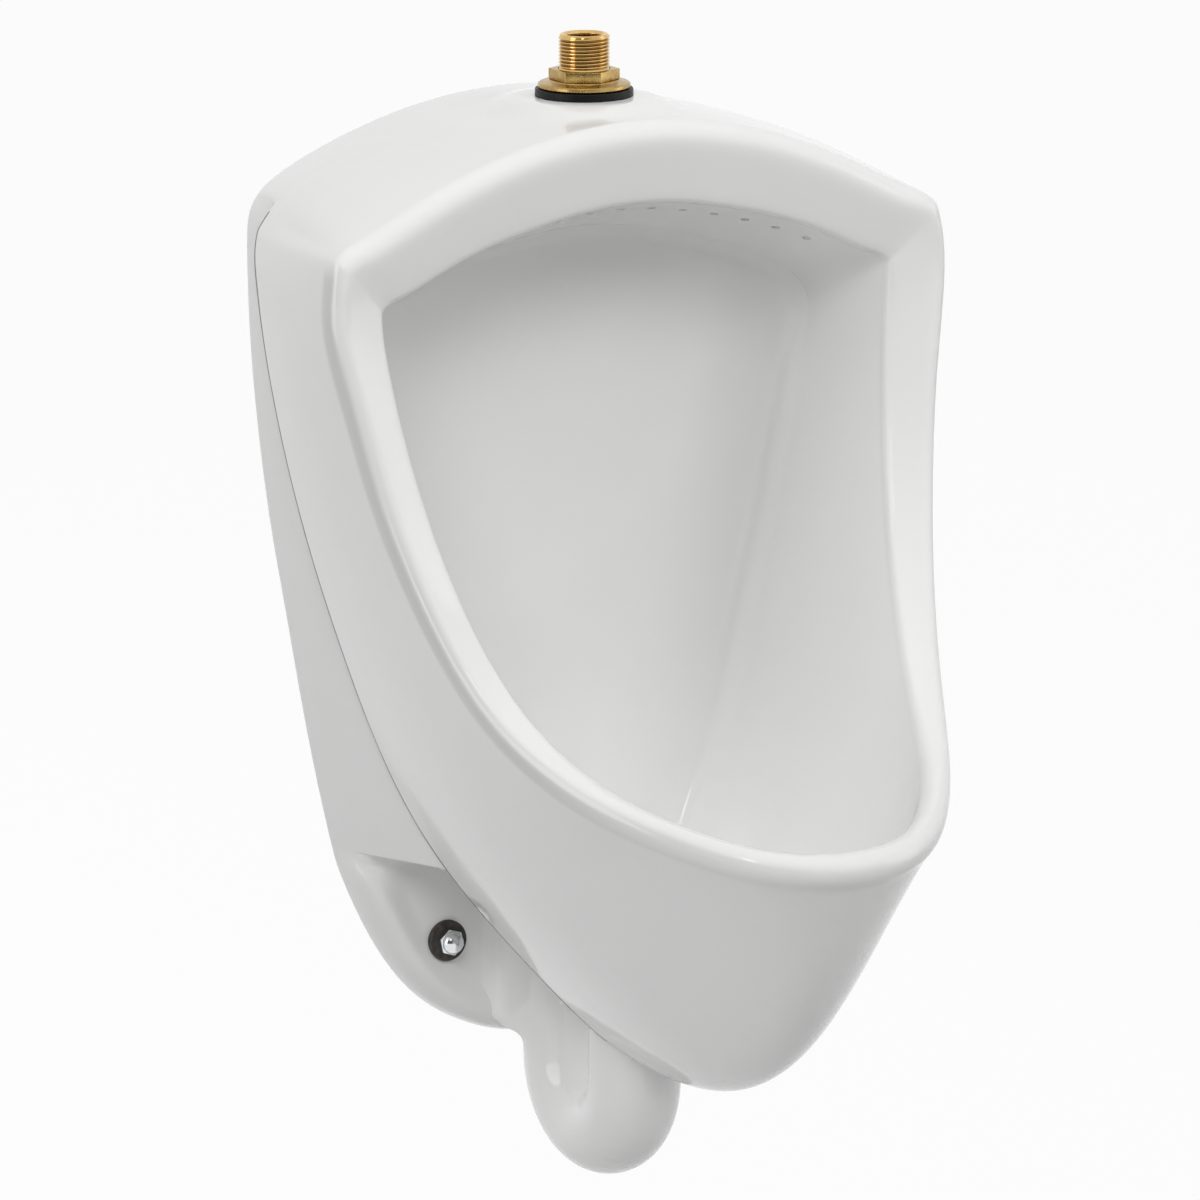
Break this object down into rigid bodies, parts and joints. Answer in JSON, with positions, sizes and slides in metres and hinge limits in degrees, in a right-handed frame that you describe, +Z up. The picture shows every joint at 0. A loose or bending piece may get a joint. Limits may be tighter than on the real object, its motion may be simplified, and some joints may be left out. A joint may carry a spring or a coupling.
{
  "type": "wall-hung urinal",
  "caption": "Wall-hung washout urinal in white china with hooded bowl, side shields, extended rim, built-in trap, brass top inlet spud and lower mounting ears.",
  "frame": {"origin": "centre of the waste outlet on the wall plane", "axes": "+X to the viewer's right, -Y out of the wall to the front, +Z up; the middle plane of the urinal is X = 0"},
  "size_m": [0.366, 0.3535, 0.5981],
  "materials": {
    "glazed_china": "gloss",
    "brass": "machined",
    "cast_brass": "satin",
    "black_rubber": "matt",
    "dark_rubber": "satin",
    "chrome": "polished",
    "stainless_steel": "satin",
    "plated_steel": "satin"
  },
  "bodies": {
    "urinal": {"china_body": "glazed_china", "inlet_spud": "brass", "spud_lock_nut": "brass", "spud_friction_ring": "brass", "spud_gasket": "black_rubber", "spud_inner_gasket": "black_rubber", "outlet_flange": "cast_brass", "outlet_gasket": "black_rubber", "flange_bolts": "plated_steel", "bolt_washers": "dark_rubber", "cap_nuts": "chrome", "wall_hanger_left": "plated_steel", "wall_hanger_right": "plated_steel", "hanger_screws": "plated_steel"},
    "strainer": {"outlet_strainer": "stainless_steel"}
  },
  "joints": [
    {"name": "strainer_lift", "type": "slide", "parent": "urinal", "child": "strainer", "axis": [0, 0, 1], "range_m": [0, 0.1]}
  ]
}
